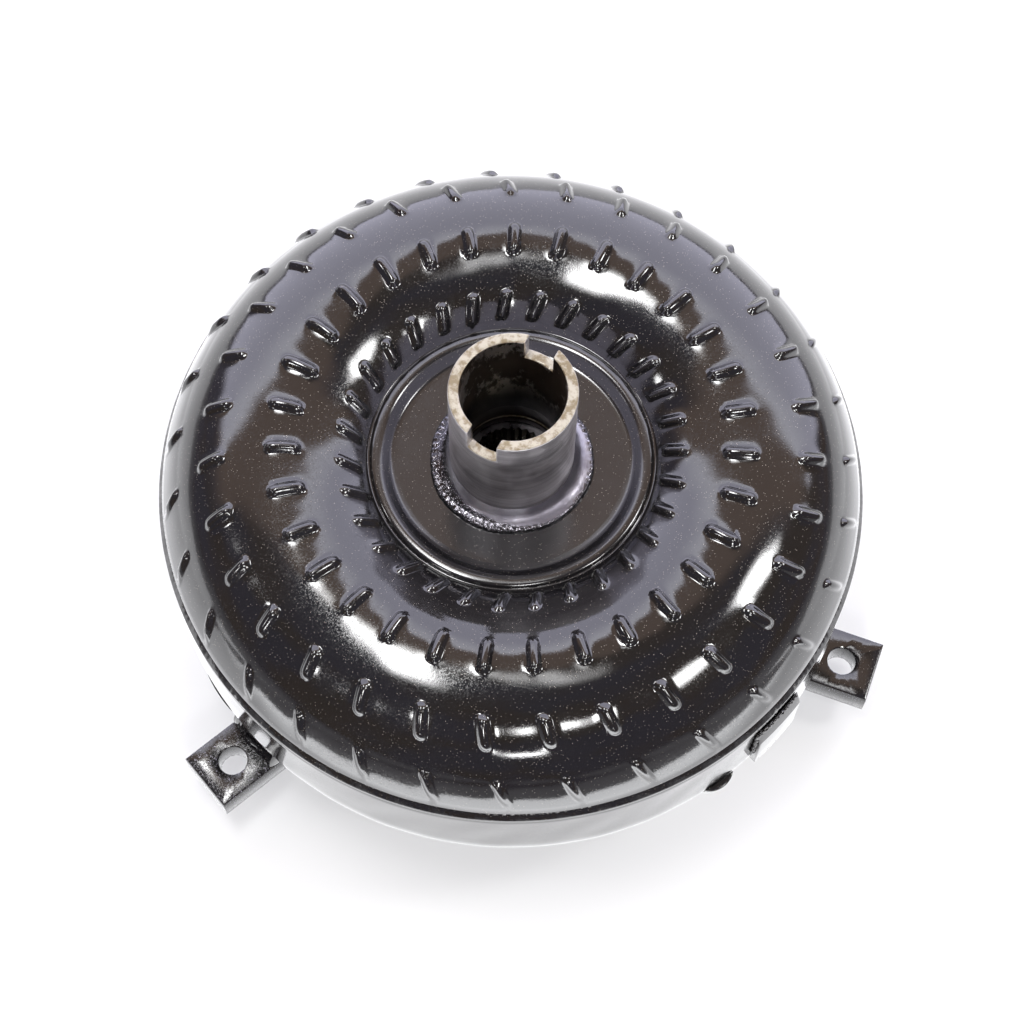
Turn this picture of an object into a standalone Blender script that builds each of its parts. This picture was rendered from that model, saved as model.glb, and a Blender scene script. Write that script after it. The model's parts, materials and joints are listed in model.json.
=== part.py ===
"""Torque converter of an automatic gearbox, with a one-way-clutch stator.

Sizes are in millimetres and are scaled to metres as the meshes are made. +Z runs
along the rotation axis, from the engine side to the gearbox side, and the origin
is the centre of the crank pilot's end face. Angles are in degrees about +Z.
"""

import math

import bmesh
import bpy

MM = 0.001
GAP = 0.3  # clearance left between pieces that touch

# Flow channel: pump and turbine are turned about one torus circle
TORUS_R = 90.0
PUMP_Z = 86.0
TURBINE_Z = 84.5
PUMP_SHELL_OUT = 47.0
PUMP_SHELL_IN = 44.0
TURBINE_SHELL_OUT = 42.5
TURBINE_SHELL_IN = 41.0
CORE_OUT = 15.6
CORE_IN = 14.4
PUMP_VANES = 31
TURBINE_VANES = 27
VANE_THICK = 1.0
VANE_SPAN = (87.5, -44.0)  # section angles from the crown, from the rim to the hub side
VANE_STEPS = 5
LEAST_RISE = 1.5  # the vanes stop this far short of the wheel's centre plane
VANE_PHASE = 2.81  # angle of the first pump vane at the crown

# Casing
BODY_R = 138.0
COVER_WALL = 3.5
COVER_FACE_Z = 26.0
COVER_CORNER = 37.0
COVER_TOP_Z = 96.0
DISH_R = 52.0
DISH_Z = 22.5
SEAM_R = 136.4
SEAM_Z = 99.0
PLATE_Z = 115.2  # flat plate round the pump hub
PLATE_R = 45.5
PLATE_THICK = 3.2
LIP_TOP = (51.6, 119.7)  # raised lip between the plate and the torus, as (radius, z)
VALLEY = (54.7, 117.6)
PILOT_R = 21.63
PILOT_FILLET = 3.0
LUG_TOP_Z = COVER_FACE_Z - GAP
LUG_THICK = 12.7
LUG_WIDTH = 26.0
LUG_INNER = 88.0
LUG_OUTER = 160.4
LUG_ANGLES = (9.5, 129.5, 249.5)
BOLT_CIRCLE_R = 146.05
BOLT_HOLE_R = 5.75
WEIGHT_THICK = 2.8
WEIGHT_HEIGHT = (59.0, 90.0)
WEIGHT_SPANS = ((342.0, 351.5), (333.0, 338.6), (239.0, 246.5))
CORNER_WEIGHT_ARC = (-34.0, -8.0)  # section angles that the low weights cover on the cover's corner

# Pump hub
HUB_R = 23.81
HUB_BORE_R = 19.7
HUB_END_Z = 174.1
HUB_FLANGE_Z = (107.3, 111.7)
HUB_FLANGE_R = 33.0
SLOT_WIDTH = 12.0
SLOT_DEPTH = 11.5
CHAMFER = 0.5

# Stator and its one-way clutch
STATOR_HUB_R = 46.0
STATOR_BORE_R = 40.6
STATOR_Z = (69.8, 101.7)
STATOR_BLADES = 17
SHROUD_R = (73.4, 75.6)
SHROUD_Z = (76.0, 96.5)
SNAP_GROOVE_Z = (70.9, 72.9)
SNAP_GROOVE_DEPTH = 1.8
SNAP_RING_R = (39.2, 42.0)
SNAP_RING_Z = (71.2, 72.6)
CAM_R = 40.1
CAM_Z = (77.0, 97.2)
POCKETS = 8
# One pocket of the cam race's bore, as (angle, radius)
CAM_POCKET = (
    (0, 26.3), (10, 26.3), (10.6, 31.9), (20, 32.0), (30, 31.8), (37, 31.5), (43.5, 31.0), (44.4, 28.5)
)
ROLLER_R = 2.75
ROLLER_CIRCLE = 28.1
ROLLER_ANGLE = 36.0
SPRING_R = (27.6, 30.6)
SPRING_START = 12.5
SPRING_FOLD = 4.0
SPRING_HALF = 0.35
INNER_RACE_R = 25.0
INNER_RACE_Z = (76.0, 106.6)
INNER_SPLINE = (36, 16.8, 17.9)  # teeth, tip radius, root radius
INPUT_SPLINE = (30, 13.4, 14.4)

# Thrust stack, from the cover to the pump hub: radii and heights of each ring
WASHER_R = (14.5, 21.0)
WASHER_Z = (26.4, 29.2)
BEARING_R = (26.2, 35.0)
FRONT_TURBINE_RACE_Z = (67.2, 68.2)
FRONT_CAGE_Z = (68.5, 70.7)
FRONT_STATOR_RACE_Z = (71.0, 72.0)
FRONT_PLATE_R = (25.8, 40.2)
FRONT_PLATE_Z = (73.0, 76.6)
REAR_STATOR_RACE_Z = (102.0, 103.0)
REAR_CAGE_Z = (103.3, 105.5)
REAR_HUB_RACE_Z = (105.8, 106.9)
NEEDLES = 16
NEEDLE_PROUD = 0.5

# Turbine hub
TURBINE_HUB_Z = (29.6, 66.9)
TURBINE_PLATE_Z = (52.0, 56.0)
RIVETS = 6
RIVET_CIRCLE = 49.0
RIVET_HOLE_R = 2.9
RIVET_SHANK_R = 2.4
RIVET_HEAD_R = 4.2

SHARP_ANGLE = 35.0
WELD_DISTANCE = 2e-6  # metres
SEGMENTS = 40  # round casings
INNER_SEGMENTS = 30  # sealed inner pieces
BEARING_SEGMENTS = 20


def clear_scene():
    for thing in list(bpy.data.objects):
        bpy.data.objects.remove(thing, do_unlink=True)


def material(name, color, roughness, metallic):
    made = bpy.data.materials.new(name)
    made.use_nodes = True
    shader = made.node_tree.nodes["Principled BSDF"]
    shader.inputs["Base Color"].default_value = (*color, 1.0)
    shader.inputs["Roughness"].default_value = roughness
    shader.inputs["Metallic"].default_value = metallic
    return made


def polar(radius, degrees, z):
    angle = math.radians(degrees)
    return (radius * math.cos(angle) * MM, radius * math.sin(angle) * MM, z * MM)


def arc(centre, radius, start, end, steps):
    """Points of a section arc, as (radius from the axis, z), from start to end degrees."""
    points = []
    for step in range(steps + 1):
        angle = math.radians(start + (end - start) * step / steps)
        points.append((centre[0] + radius * math.cos(angle), centre[1] + radius * math.sin(angle)))
    return points


def finish_mesh(name, bm, finish, parent):
    bmesh.ops.remove_doubles(bm, verts=bm.verts, dist=WELD_DISTANCE)
    bmesh.ops.recalc_face_normals(bm, faces=bm.faces)
    mesh = bpy.data.meshes.new(name)
    bm.to_mesh(mesh)
    bm.free()
    mesh.shade_smooth()
    mesh.set_sharp_from_angle(angle=math.radians(SHARP_ANGLE))
    mesh.materials.append(finish)
    made = bpy.data.objects.new(name, mesh)
    bpy.context.scene.collection.objects.link(made)
    made.parent = parent
    return made


def turned(name, outline, finish, parent, segments=SEGMENTS, closed=True):
    """A piece turned about +Z. A closed outline makes a ring; an open one starts and ends on the axis."""
    bm = bmesh.new()
    corners = [bm.verts.new((r * MM, 0.0, z * MM)) for r, z in outline]
    ends = corners[1:] + corners[:1] if closed else corners[1:]
    edges = [bm.edges.new(pair) for pair in zip(corners, ends)]
    bmesh.ops.spin(
        bm, geom=corners + edges, cent=(0, 0, 0), axis=(0, 0, 1), angle=2 * math.pi, steps=segments
    )
    return finish_mesh(name, bm, finish, parent)


def box_ring(r_in, r_out, z_low, z_high):
    return [(r_in, z_low), (r_out, z_low), (r_out, z_high), (r_in, z_high)]


def prism(bm, outline, z_low, z_high):
    """A straight extrusion of an (x, y) outline, added to bm."""
    face = bm.faces.new([bm.verts.new((x * MM, y * MM, z_low * MM)) for x, y in outline])
    grown = bmesh.ops.extrude_face_region(bm, geom=[face])["geom"]
    tops = [item for item in grown if isinstance(item, bmesh.types.BMVert)]
    bmesh.ops.translate(bm, verts=tops, vec=(0, 0, (z_high - z_low) * MM))


def hollow_prism(bm, outer, inner, z_low, z_high):
    """A ring between two outlines with as many points each, extruded from z_low to z_high."""
    rings = []
    for outline, z in ((outer, z_low), (outer, z_high), (inner, z_high), (inner, z_low)):
        rings.append([bm.verts.new((x * MM, y * MM, z * MM)) for x, y in outline])
    for ring, following in zip(rings, rings[1:] + rings[:1]):
        for index in range(len(ring)):
            after = (index + 1) % len(ring)
            bm.faces.new((ring[index], ring[after], following[after], following[index]))


def round_outline(radius, angles):
    return [(radius * math.cos(math.radians(a)), radius * math.sin(math.radians(a))) for a in angles]


def spline_outline(teeth, tip, root):
    """Inward teeth: the outline goes from root to tip and back once per tooth."""
    step = 180.0 / teeth
    outline = []
    for index in range(2 * teeth):
        radius = tip if index % 2 else root
        outline += round_outline(radius, [index * step])
    return outline


def arc_plate(name, section, span, steps, finish, parent):
    """A plate with a section of (radius, z) points, bent about the axis between two angles."""
    bm = bmesh.new()
    rows = []
    for step in range(steps + 1):
        angle = span[0] + (span[1] - span[0]) * step / steps
        rows.append([bm.verts.new(polar(r, angle, z)) for r, z in section])
    for row, following in zip(rows, rows[1:]):
        for side in range(len(section)):
            after = (side + 1) % len(section)
            bm.faces.new((row[side], row[after], following[after], following[side]))
    bm.faces.new(rows[0])
    bm.faces.new(rows[-1])
    return finish_mesh(name, bm, finish, parent)


def boolean(target, other, operation):
    other.hide_render = True
    other.display_type = "WIRE"
    change = target.modifiers.new(operation.lower(), "BOOLEAN")
    change.operation = operation
    change.solver = "EXACT"
    change.object = other


# ---------------------------------------------------------------- casing


def make_cover(finish, root):
    centre = (BODY_R - COVER_CORNER, COVER_FACE_Z + COVER_CORNER)
    outline = [(0, DISH_Z), (DISH_R, DISH_Z), (DISH_R + 7, COVER_FACE_Z)]
    outline += arc(centre, COVER_CORNER, -90, 0, 6)
    outline += [(BODY_R, COVER_TOP_Z - 1.4), (BODY_R - 1.1, COVER_TOP_Z)]
    outline += [(BODY_R - COVER_WALL, COVER_TOP_Z)]
    outline += arc(centre, COVER_CORNER - COVER_WALL, 0, -90, 5)
    outline += [(DISH_R + 6, COVER_FACE_Z + COVER_WALL), (DISH_R - 1, DISH_Z + COVER_WALL)]
    outline += [(0, DISH_Z + COVER_WALL)]
    return turned("front_cover", outline, finish, root, closed=False)


def make_pilot(finish, root):
    top = DISH_Z - GAP
    foot = PILOT_R + PILOT_FILLET
    outline = [(0, 0), (PILOT_R - 1.5, 0), (PILOT_R, 1.5), (PILOT_R, top - PILOT_FILLET - 2)]
    outline += [(foot, top - 2), (foot, top), (0, top)]
    return turned("crank_pilot", outline, finish, root, closed=False)


def make_lug(number, degrees, finish, root):
    """A flat block under the cover's rim, with a plain hole for the flexplate bolt."""
    half = LUG_WIDTH / 2
    bm = bmesh.new()
    corners = [(LUG_INNER, -half), (LUG_OUTER, -half), (LUG_OUTER, half), (LUG_INNER, half)]
    prism(bm, corners, LUG_TOP_Z - LUG_THICK, LUG_TOP_Z)
    lug = finish_mesh(f"drive_lug_{number}", bm, finish, root)
    lug.rotation_euler.z = math.radians(degrees)
    bm = bmesh.new()
    hole = [(BOLT_CIRCLE_R + x, y) for x, y in round_outline(BOLT_HOLE_R, range(0, 360, 15))]
    prism(bm, hole, LUG_TOP_Z - LUG_THICK - 2, LUG_TOP_Z + 2)
    cutter = finish_mesh(f"lug_hole_{number}", bm, finish, root)
    cutter.rotation_euler.z = math.radians(degrees)
    boolean(lug, cutter, "DIFFERENCE")


def make_balance_weights(finish, root):
    """A strip tacked to the cover's side, and two that follow its lower corner."""
    side = box_ring(BODY_R + GAP, BODY_R + GAP + WEIGHT_THICK, *WEIGHT_HEIGHT)
    arc_plate("balance_weight_1", side, WEIGHT_SPANS[0], 3, finish, root)
    centre = (BODY_R - COVER_CORNER, COVER_FACE_Z + COVER_CORNER)
    low, high = CORNER_WEIGHT_ARC
    inner = COVER_CORNER + GAP
    curved = arc(centre, inner, low, high, 3) + arc(centre, inner + WEIGHT_THICK, high, low, 3)
    arc_plate("balance_weight_2", curved, WEIGHT_SPANS[1], 2, finish, root)
    arc_plate("balance_weight_3", curved, WEIGHT_SPANS[2], 2, finish, root)


def make_pump_shell(finish, root):
    """The torus half, which ends inwards in a valley, a raised lip and the flat plate round the hub."""
    centre = (TORUS_R, PUMP_Z)
    low = COVER_TOP_Z + GAP
    foot = math.degrees(math.asin((low - PUMP_Z) / PUMP_SHELL_IN))
    lip_r, lip_z = LIP_TOP
    outline = [(SEAM_R, low), (SEAM_R, SEAM_Z)]
    outline += arc(centre, PUMP_SHELL_OUT, 29.3, 134.1, 8)
    outline += [VALLEY, (lip_r + 1.9, lip_z - 0.7), LIP_TOP, (lip_r - 2.6, lip_z - 1.0)]
    outline += [(PLATE_R, PLATE_Z), (HUB_R + GAP, PLATE_Z), (HUB_R + GAP, PLATE_Z - PLATE_THICK)]
    outline += [(PLATE_R + 1.2, PLATE_Z - PLATE_THICK), (lip_r - 1.2, lip_z - 3.4)]
    outline += [(lip_r + 0.6, lip_z - 3.4), (VALLEY[0], VALLEY[1] - 3.4)]
    outline += arc(centre, PUMP_SHELL_IN, 137.6, foot, 8)
    return turned("impeller_shell", outline, finish, root)


def make_pump_hub(finish, root):
    low, shoulder = HUB_FLANGE_Z
    outline = [(HUB_BORE_R, low), (HUB_FLANGE_R, low), (HUB_FLANGE_R, shoulder), (HUB_R, shoulder)]
    outline += [(HUB_R, HUB_END_Z - CHAMFER), (HUB_R - CHAMFER, HUB_END_Z)]
    outline += [(HUB_BORE_R + CHAMFER, HUB_END_Z), (HUB_BORE_R, HUB_END_Z - CHAMFER)]
    hub = turned("impeller_hub", outline, finish, root)
    bm = bmesh.new()
    half = SLOT_WIDTH / 2
    reach = HUB_R + 5
    across = [(-half, -reach), (half, -reach), (half, reach), (-half, reach)]
    prism(bm, across, HUB_END_Z - SLOT_DEPTH, HUB_END_Z + 5)
    cutter = finish_mesh("drive_slot_cutter", bm, finish, root)
    boolean(hub, cutter, "DIFFERENCE")


# ---------------------------------------------------------------- vanes


def sweep(theta, at_rim, at_hub):
    """How far a vane leans round the axis, where theta is the section angle from the crown."""
    return (at_rim if theta > 0 else at_hub) * theta * theta


def vane_row(bm, theta, centre_z, side, outer, around):
    """The six corners of one vane and its stretch of core ring, at one section angle."""
    section = math.radians(90.0 - theta)
    row = {}
    for key, radius in (("tip", outer), ("core", CORE_OUT), ("bore", CORE_IN)):
        r = TORUS_R + radius * math.cos(section)
        z = centre_z + side * max(radius * math.sin(section), LEAST_RISE)
        half = math.degrees(VANE_THICK / 2 / r)
        for edge, angle in (("near", around - half), ("far", around + half)):
            row[key, edge] = bm.verts.new(polar(r, angle, z))
    return row


def make_vane_set(name, count, centre_z, side, outer, phase, lean, finish, parent):
    """All the vanes of a wheel, brazed to its core ring. side is 1 for the pump, -1 for the turbine."""
    start, end = VANE_SPAN
    bm = bmesh.new()
    rows = []
    for step in range(VANE_STEPS + 1):
        theta = start + (end - start) * step / VANE_STEPS
        around = phase + sweep(theta, *lean)
        turns = [around + index * 360.0 / count for index in range(count)]
        rows.append([vane_row(bm, theta, centre_z, side, outer, angle) for angle in turns])
    strips = (
        (("core", "near"), ("tip", "near"), 0),
        (("tip", "near"), ("tip", "far"), 0),
        (("tip", "far"), ("core", "far"), 0),
        (("core", "far"), ("core", "near"), 1),
        (("bore", "far"), ("bore", "near"), 0),
        (("bore", "near"), ("bore", "far"), -1),
    )
    for row, following in zip(rows, rows[1:]):
        for index in range(count):
            for first, second, shift in strips:
                other = (index + shift) % count
                a, b = row[index][first], row[other][second]
                c, d = following[other][second], following[index][first]
                # Both sides of a vane split along the same diagonal, so it keeps its thickness
                if first == ("tip", "far"):
                    faces = ((a, b, d), (b, c, d))
                else:
                    faces = ((a, b, c), (a, c, d))
                for face in faces:
                    bm.faces.new(face)
    vane_end = (("tip", "near"), ("tip", "far"), ("core", "far"), ("core", "near"))
    core_end = (("core", "near"), ("core", "far"), ("bore", "far"), ("bore", "near"))
    for row in (rows[0], rows[-1]):
        for index in range(count):
            here, after = row[index], row[(index + 1) % count]
            bm.faces.new([here[key] for key in vane_end])
            bm.faces.new([here[key] for key in core_end])
            ring = [here["core", "far"], after["core", "near"]]
            bm.faces.new(ring + [after["bore", "near"], here["bore", "far"]])
    finish_mesh(name, bm, finish, parent)


# ---------------------------------------------------------------- turbine


def make_turbine_shell(finish, parent):
    centre = (TORUS_R, TURBINE_Z)
    outline = arc(centre, TURBINE_SHELL_OUT, -0.4, -138.0, 7)
    outline += [(38.0, 56.3), (38.0, 57.8)]
    outline += arc(centre, TURBINE_SHELL_IN, -139.4, -0.4, 7)
    shell = turned("turbine_shell", outline, finish, parent, segments=INNER_SEGMENTS)
    drill_rivet_holes(shell, finish, parent)


def drill_rivet_holes(plate, finish, parent):
    bm = bmesh.new()
    for index in range(RIVETS):
        x, y = round_outline(RIVET_CIRCLE, [index * 360.0 / RIVETS])[0]
        hole = [(x + dx, y + dy) for dx, dy in round_outline(RIVET_HOLE_R, range(0, 360, 45))]
        prism(bm, hole, TURBINE_PLATE_Z[0] - 2, TURBINE_PLATE_Z[1] + 4)
    cutter = finish_mesh(f"{plate.name}_rivet_holes", bm, finish, parent)
    boolean(plate, cutter, "DIFFERENCE")


def make_turbine_hub(finish, parent):
    low, high = TURBINE_HUB_Z
    under, over = TURBINE_PLATE_Z
    outline = [(12.0, low), (21.0, low), (22.0, low + 1), (22.0, under - 3), (24.0, under), (56.0, under)]
    outline += [(56.0, over), (30.0, over), (30.0, high - 4.9), (36.0, high - 4.4)]
    outline += [(36.0, high), (12.0, high)]
    hub = turned("turbine_hub", outline, finish, parent, segments=INNER_SEGMENTS)
    bm = bmesh.new()
    prism(bm, spline_outline(*INPUT_SPLINE), low - 2, high + 2)
    cutter = finish_mesh("input_spline_cutter", bm, finish, parent)
    boolean(hub, cutter, "DIFFERENCE")
    drill_rivet_holes(hub, finish, parent)


def make_rivets(finish, parent):
    head, shank = RIVET_HEAD_R, RIVET_SHANK_R
    under, over = TURBINE_PLATE_Z[0] - GAP, TURBINE_PLATE_Z[1] + 2.1
    outline = [(0, under - 2.3), (head, under - 1.5), (head, under), (shank, under)]
    outline += [(shank, over), (head, over), (head, over + 1.3), (0, over + 2.1)]
    for index in range(RIVETS):
        rivet = turned(f"turbine_rivet_{index + 1}", outline, finish, parent, segments=8, closed=False)
        rivet.location = polar(RIVET_CIRCLE, index * 360.0 / RIVETS, 0)


# ---------------------------------------------------------------- stator


def add_blade(bm, degrees):
    """A stator blade: thick rounded nose towards the turbine, thin tail towards the pump."""
    camber = ((77.0, 0.3, 1.8), (83.0, 2.0, 3.2), (96.0, 12.5, 0.5))
    rings = []
    for radius in (STATOR_HUB_R - 1.5, (SHROUD_R[0] + SHROUD_R[1]) / 2):
        near = [(z, bend - half) for z, bend, half in camber]
        far = [(z, bend + half) for z, bend, half in reversed(camber)]
        ring = []
        for z, offset in near + far:
            around = degrees + math.degrees(offset / 60.0)
            ring.append(bm.verts.new(polar(radius, around, z)))
        rings.append(ring)
    count = len(rings[0])
    for index in range(count):
        after = (index + 1) % count
        bm.faces.new((rings[0][index], rings[0][after], rings[1][after], rings[1][index]))
    for ring in rings:
        bm.faces.new(ring)


def make_stator_casting(finish, parent):
    low, high = STATOR_Z
    groove_low, groove_high = SNAP_GROOVE_Z
    groove_r = STATOR_BORE_R + SNAP_GROOVE_DEPTH
    lip_r = INNER_RACE_R + 2 * GAP
    segments = 2 * STATOR_BLADES
    outline = [(STATOR_BORE_R, low), (STATOR_HUB_R, low), (STATOR_HUB_R, high), (lip_r, high)]
    outline += [(lip_r, CAM_Z[1] + GAP), (STATOR_BORE_R, CAM_Z[1] + GAP), (STATOR_BORE_R, groove_high)]
    outline += [(groove_r, groove_high), (groove_r, groove_low), (STATOR_BORE_R, groove_low)]
    casting = turned("stator_casting", outline, finish, parent, segments)
    shroud = turned("stator_shroud", box_ring(*SHROUD_R, *SHROUD_Z), finish, parent, segments)
    bm = bmesh.new()
    for index in range(STATOR_BLADES):
        add_blade(bm, index * 360.0 / STATOR_BLADES)
    blades = finish_mesh("stator_blades", bm, finish, parent)
    boolean(casting, blades, "UNION")
    boolean(casting, shroud, "UNION")


def make_clutch(race_finish, roller_finish, stator, inner_parent):
    """Cam race, rollers and their springs, and the splined inner race."""
    pocket = 360.0 / POCKETS
    angles, radii = [], []
    for index in range(POCKETS):
        angles += [index * pocket + angle for angle, _ in CAM_POCKET]
        radii += [radius for _, radius in CAM_POCKET]
    inner = [round_outline(radius, [angle])[0] for angle, radius in zip(angles, radii)]
    bm = bmesh.new()
    hollow_prism(bm, round_outline(CAM_R, angles), inner, *CAM_Z)
    finish_mesh("clutch_cam_race", bm, race_finish, stator)

    for index in range(POCKETS):
        centre = round_outline(ROLLER_CIRCLE, [index * pocket + ROLLER_ANGLE])[0]
        bm = bmesh.new()
        circle = [(centre[0] + x, centre[1] + y) for x, y in round_outline(ROLLER_R, range(0, 360, 30))]
        prism(bm, circle, CAM_Z[0] + 1, CAM_Z[1] - 1)
        finish_mesh(f"clutch_roller_{index + 1}", bm, roller_finish, stator)
        make_clutch_spring(index + 1, index * pocket, roller_finish, stator)

    bm = bmesh.new()
    bore = spline_outline(*INNER_SPLINE)
    around = [index * 180.0 / INNER_SPLINE[0] for index in range(2 * INNER_SPLINE[0])]
    hollow_prism(bm, round_outline(INNER_RACE_R, around), bore, *INNER_RACE_Z)
    finish_mesh("clutch_inner_race", bm, race_finish, inner_parent)


def make_clutch_spring(number, start, finish, stator):
    """A folded leaf that pushes the roller along its pocket."""
    first = start + SPRING_START
    folds = [(first + SPRING_FOLD * index, SPRING_R[(index + 1) % 2]) for index in range(5)]
    near = [round_outline(radius - SPRING_HALF, [angle])[0] for angle, radius in folds]
    far = [round_outline(radius + SPRING_HALF, [angle])[0] for angle, radius in reversed(folds)]
    bm = bmesh.new()
    prism(bm, near + far, CAM_Z[0] + 4, CAM_Z[1] - 4)
    finish_mesh(f"clutch_spring_{number}", bm, finish, stator)


def make_needle_cage(name, heights, finish, parent):
    """A flat cage whose radial needles stand a little proud of both faces."""
    bm = bmesh.new()
    rings = []
    r_in, r_out = BEARING_R[0] + 2 * GAP, BEARING_R[1] - 2 * GAP
    for index in range(3 * NEEDLES):
        sunk = NEEDLE_PROUD if index % 3 else 0.0
        low, high = heights[0] + sunk, heights[1] - sunk
        angle = index * 360.0 / (3 * NEEDLES)
        corners = box_ring(r_in, r_out, low, high)
        rings.append([bm.verts.new(polar(r, angle, z)) for r, z in corners])
    for ring, following in zip(rings, rings[1:] + rings[:1]):
        for side in range(4):
            after = (side + 1) % 4
            bm.faces.new((ring[side], ring[after], following[after], following[side]))
    finish_mesh(name, bm, finish, parent)


def make_race(name, heights, finish, parent):
    """A flat washer that a thrust bearing's needles run on."""
    turned(name, box_ring(*BEARING_R, *heights), finish, parent, segments=BEARING_SEGMENTS)


def make_thrust_parts(steel, bronze, root, turbine, stator, cages):
    """The front thrust washer, the two needle thrust bearings and what keeps the clutch in the stator."""
    washer = box_ring(*WASHER_R, *WASHER_Z)
    turned("front_thrust_washer", washer, bronze, root, segments=BEARING_SEGMENTS)
    make_race("front_bearing_turbine_race", FRONT_TURBINE_RACE_Z, steel, turbine)
    make_needle_cage("front_bearing_cage", FRONT_CAGE_Z, bronze, cages[0])
    make_race("front_bearing_stator_race", FRONT_STATOR_RACE_Z, steel, stator)
    plate = box_ring(*FRONT_PLATE_R, *FRONT_PLATE_Z)
    turned("stator_front_plate", plate, bronze, stator, segments=2 * STATOR_BLADES)
    make_race("rear_bearing_stator_race", REAR_STATOR_RACE_Z, steel, stator)
    make_needle_cage("rear_bearing_cage", REAR_CAGE_Z, bronze, cages[1])
    make_race("rear_bearing_hub_race", REAR_HUB_RACE_Z, steel, root)
    ring = box_ring(*SNAP_RING_R, *SNAP_RING_Z)
    arc_plate("stator_snap_ring", ring, (8, 352), 20, steel, stator)


def spin_centre(name, parent=None):
    """An empty on the rotation axis, which a turning group hangs from."""
    made = bpy.data.objects.new(name, None)
    bpy.context.scene.collection.objects.link(made)
    made.parent = parent
    return made


def main():
    clear_scene()
    black = material("gloss_black_paint", (0.012, 0.012, 0.014), 0.12, 0.0)
    hub_steel = material("turned_steel", (0.32, 0.31, 0.30), 0.32, 1.0)
    sheet_steel = material("sheet_steel", (0.36, 0.36, 0.37), 0.4, 1.0)
    race_steel = material("race_steel", (0.45, 0.45, 0.46), 0.22, 1.0)
    alloy = material("cast_alloy", (0.62, 0.62, 0.63), 0.5, 1.0)
    bronze = material("bronze", (0.55, 0.38, 0.18), 0.35, 1.0)

    root = spin_centre("casing")
    turbine = spin_centre("turbine", root)
    stator = spin_centre("stator", root)
    inner_race = spin_centre("inner_race", stator)
    cages = (spin_centre("front_cage", stator), spin_centre("rear_cage", root))

    make_cover(black, root)
    make_pilot(black, root)
    for number, degrees in enumerate(LUG_ANGLES, 1):
        make_lug(number, degrees, black, root)
    make_balance_weights(black, root)
    make_pump_shell(black, root)
    make_pump_hub(hub_steel, root)
    pump = (PUMP_VANES, PUMP_Z, 1, PUMP_SHELL_IN - 0.9, VANE_PHASE, (0.00127, 0.0025))
    make_vane_set("impeller_vanes", *pump, sheet_steel, root)
    make_turbine_shell(sheet_steel, turbine)
    driven = (TURBINE_VANES, TURBINE_Z, -1, TURBINE_SHELL_IN - 1.9, 0, (0.0022, -0.0040))
    make_vane_set("turbine_vanes", *driven, sheet_steel, turbine)
    make_turbine_hub(hub_steel, turbine)
    make_rivets(race_steel, turbine)
    make_stator_casting(alloy, stator)
    make_clutch(race_steel, race_steel, stator, inner_race)
    make_thrust_parts(race_steel, bronze, root, turbine, stator, cages)


main()
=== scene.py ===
"""Looks of a torque converter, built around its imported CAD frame.

Shapes are in millimetres and are scaled by MM as meshes are made; materials and the
stage are in metres. Angles are in degrees about +Z, the rotation axis. A section
angle, theta, is measured on the torus circle from its crown, towards the rim where
positive.
"""

import json
import math

import bmesh
import bpy
import numpy as np
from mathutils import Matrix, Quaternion, Vector


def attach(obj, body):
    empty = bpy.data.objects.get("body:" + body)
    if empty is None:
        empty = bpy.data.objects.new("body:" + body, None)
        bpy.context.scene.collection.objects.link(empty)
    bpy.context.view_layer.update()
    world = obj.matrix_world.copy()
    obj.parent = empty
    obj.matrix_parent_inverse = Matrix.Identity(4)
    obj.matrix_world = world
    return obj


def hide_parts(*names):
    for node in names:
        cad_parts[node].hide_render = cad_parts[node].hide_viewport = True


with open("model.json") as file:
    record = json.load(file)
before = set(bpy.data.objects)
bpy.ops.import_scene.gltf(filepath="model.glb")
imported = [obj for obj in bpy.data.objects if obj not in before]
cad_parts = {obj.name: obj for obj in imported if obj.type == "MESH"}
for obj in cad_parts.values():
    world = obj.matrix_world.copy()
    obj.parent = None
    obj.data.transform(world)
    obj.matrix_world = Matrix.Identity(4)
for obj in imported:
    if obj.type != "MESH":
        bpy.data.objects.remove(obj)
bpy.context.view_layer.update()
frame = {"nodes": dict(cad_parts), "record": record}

MM = 0.001
SEED = 7
NODES = frame["nodes"]

# Casing, as in the CAD
TORUS_R = 90.0
TORUS_Z = 86.0
SHELL_OUT = 47.0
SHELL_IN = 44.0
BODY_R = 138.0
COVER_CORNER = 37.0
COVER_FACE_Z = 26.0
COVER_WALL = 3.5
DISH_R = 52.0
DISH_Z = 22.5
PILOT_R = 21.63
PILOT_TOP = 22.2
LUG_TOP_Z = 25.7
LUG_THICK = 12.7
LUG_WIDTH = 26.0
LUG_INNER = 88.0
LUG_OUTER = 160.4
LUG_ANGLES = (9.5, 129.5, 249.5)
BOLT_CIRCLE_R = 146.05
BOLT_HOLE_R = 5.75
WEIGHT_HEIGHT = (59.0, 90.0)
WEIGHT_CORNER = (-34.0, -8.0)
WEIGHT_SPANS = ((342.0, 351.5), (333.0, 338.6), (239.0, 246.5))
HUB_R = 23.81
HUB_BORE_R = 19.7
HUB_END_Z = 174.1
HUB_FLANGE_R = 33.0
HUB_FLANGE_Z = (107.3, 111.7)
PLATE_Z = 115.2
SLOT_HALF = 6.0
SLOT_DEPTH = 11.5

# Vane dimples: 31 round the shell in each of four rows
SECTORS = 31
PHASE = 2.81
LEAN_AT_RIM = 0.00127
LEAN_AT_HUB = 0.0025
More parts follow.
